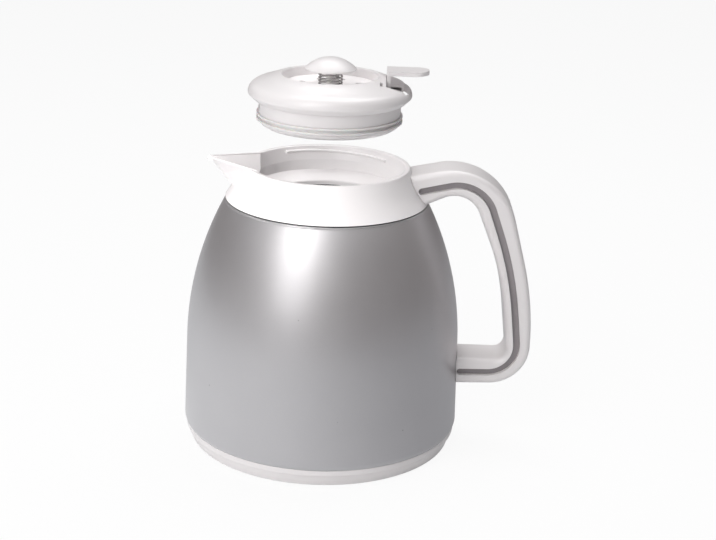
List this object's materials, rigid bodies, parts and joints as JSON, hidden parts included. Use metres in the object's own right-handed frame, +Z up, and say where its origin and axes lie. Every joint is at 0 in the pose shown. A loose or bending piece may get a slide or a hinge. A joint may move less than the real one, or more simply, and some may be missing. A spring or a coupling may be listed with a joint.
{
  "type": "vacuum carafe",
  "caption": "Insulated serving jug with a lacquered shell, pouring spout, looped handle and a lift-off lid with a thumb lever that opens a spring valve.",
  "frame": {"origin": "on the body's axis, on the plane that the rubber foot stands on", "axes": "+Z up along the body's axis, +X towards the handle, -X towards the spout"},
  "size_m": [0.1903, 0.152, 0.2131],
  "materials": {
    "shell_lacquer": "silver pearl lacquer, satin gloss",
    "plastic_white": "white, moulded, soft gloss",
    "base_plastic": "light grey, moulded, fine grain",
    "inlay_grey": "warm dark grey, matt",
    "silvered_glass": "silvered glass",
    "gasket_silicone": "pale grey silicone",
    "seal_black": "black, matt",
    "foot_rubber": "dark grey, matt",
    "steel": "stainless, drawn"
  },
  "bodies": {
    "carafe": {"outer_shell": "shell_lacquer", "collar": "plastic_white", "collar_seal": "seal_black", "collar_screws": "steel", "handle": "plastic_white", "handle_inlay_front": "inlay_grey", "handle_inlay_back": "inlay_grey", "handle_screw": "steel", "handle_plate": "steel", "flask_outer": "silvered_glass", "flask_inner": "silvered_glass", "neck_gasket": "seal_black", "base_ring": "base_plastic", "foot_ring": "foot_rubber", "base_cap": "base_plastic", "base_cushion": "foot_rubber"},
    "gasket": {"stopper_gasket": "gasket_silicone"},
    "lid": {"lid_cover": "plastic_white", "drip_dish": "plastic_white", "stopper_base": "plastic_white", "lever_pin": "steel", "valve_spring": "steel"},
    "lever": {"lever": "plastic_white"},
    "valve": {"valve_stem": "plastic_white", "valve_disc": "plastic_white", "valve_seal": "gasket_silicone", "valve_clip": "steel", "push_cap": "plastic_white"}
  },
  "joints": [
    {"name": "lid_lift", "type": "slide", "parent": "carafe", "child": "gasket", "axis": [0, 0, 1], "range_m": [-0.0353, 0]},
    {"name": "lid_turn", "type": "hinge", "parent": "gasket", "child": "lid", "pos_m": [0, 0, 0.1821], "axis": [0, 0, 1], "range_deg": [0, 60]},
    {"name": "lever_press", "type": "hinge", "parent": "lid", "child": "lever", "pos_m": [-0.024, 0, 0.1918], "axis": [0, 1, 0], "range_deg": [0, 4.8]},
    {"name": "valve_slide", "type": "slide", "parent": "lid", "child": "valve", "axis": [0, 0, -1], "range_m": [0, 0.00202], "stiffness_N_per_m": 45, "springref_m": -0.003, "deforming": ["valve_spring"]}
  ],
  "couplings": [
    {"joint": "valve_slide", "follows": "lever_press", "m_per_rad": 0.024}
  ]
}
